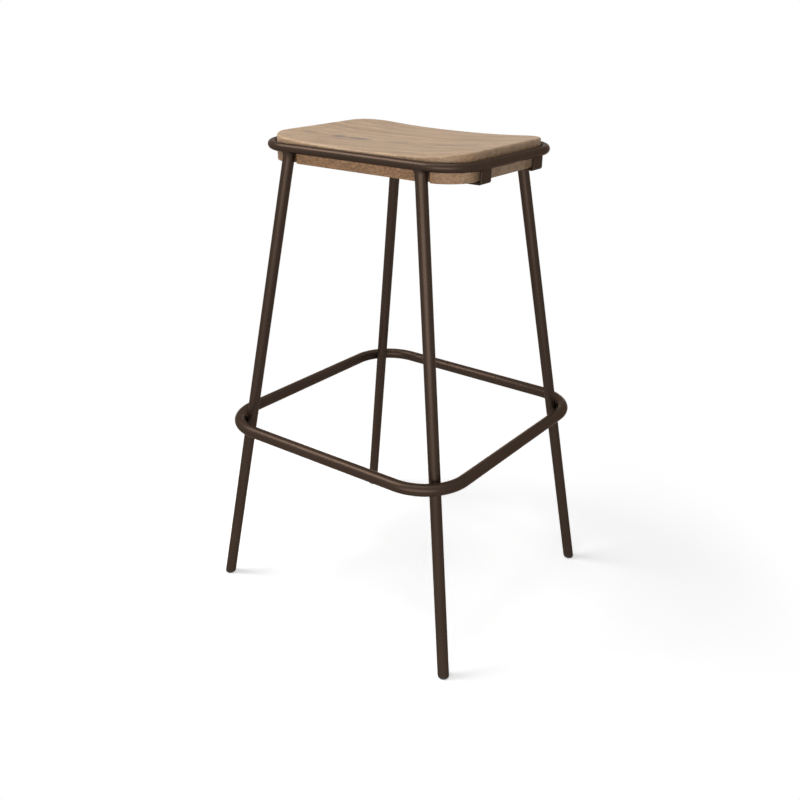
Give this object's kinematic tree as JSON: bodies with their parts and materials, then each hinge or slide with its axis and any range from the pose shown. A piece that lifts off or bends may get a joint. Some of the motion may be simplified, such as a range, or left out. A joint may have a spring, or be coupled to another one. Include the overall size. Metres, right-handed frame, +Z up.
{
  "type": "bar stool",
  "caption": "Bar stool with a dished rounded-rectangle wooden seat in a bent steel ring, splayed tube legs and a closed footrest ring outside the legs.",
  "frame": {"origin": "on the floor, under the middle of the seat", "axes": "+Z up, X along the seat's long side, -Y towards the front"},
  "size_m": [0.4756, 0.447, 0.7566],
  "materials": {
    "seat_wood": "matte oiled, light grey-brown",
    "frame_paint": "satin dark bronze powder coat",
    "glide_plastic": "black, moulded",
    "screw_steel": "dark zinc"
  },
  "bodies": {
    "root": {"seat_board": "seat_wood", "seat_ring": "frame_paint", "footrest_ring": "frame_paint", "leg_front_left": "frame_paint", "head_weld_front_left": "frame_paint", "footrest_weld_front_left": "frame_paint", "foot_glide_front_left": "glide_plastic", "leg_front_right": "frame_paint", "head_weld_front_right": "frame_paint", "footrest_weld_front_right": "frame_paint", "foot_glide_front_right": "glide_plastic", "leg_rear_left": "frame_paint", "head_weld_rear_left": "frame_paint", "footrest_weld_rear_left": "frame_paint", "foot_glide_rear_left": "glide_plastic", "leg_rear_right": "frame_paint", "head_weld_rear_right": "frame_paint", "footrest_weld_rear_right": "frame_paint", "foot_glide_rear_right": "glide_plastic", "seat_strap_front": "frame_paint", "seat_screw_front_left": "screw_steel", "seat_screw_front_right": "screw_steel", "seat_strap_rear": "frame_paint", "seat_screw_rear_left": "screw_steel", "seat_screw_rear_right": "screw_steel"}
  },
  "joints": []
}
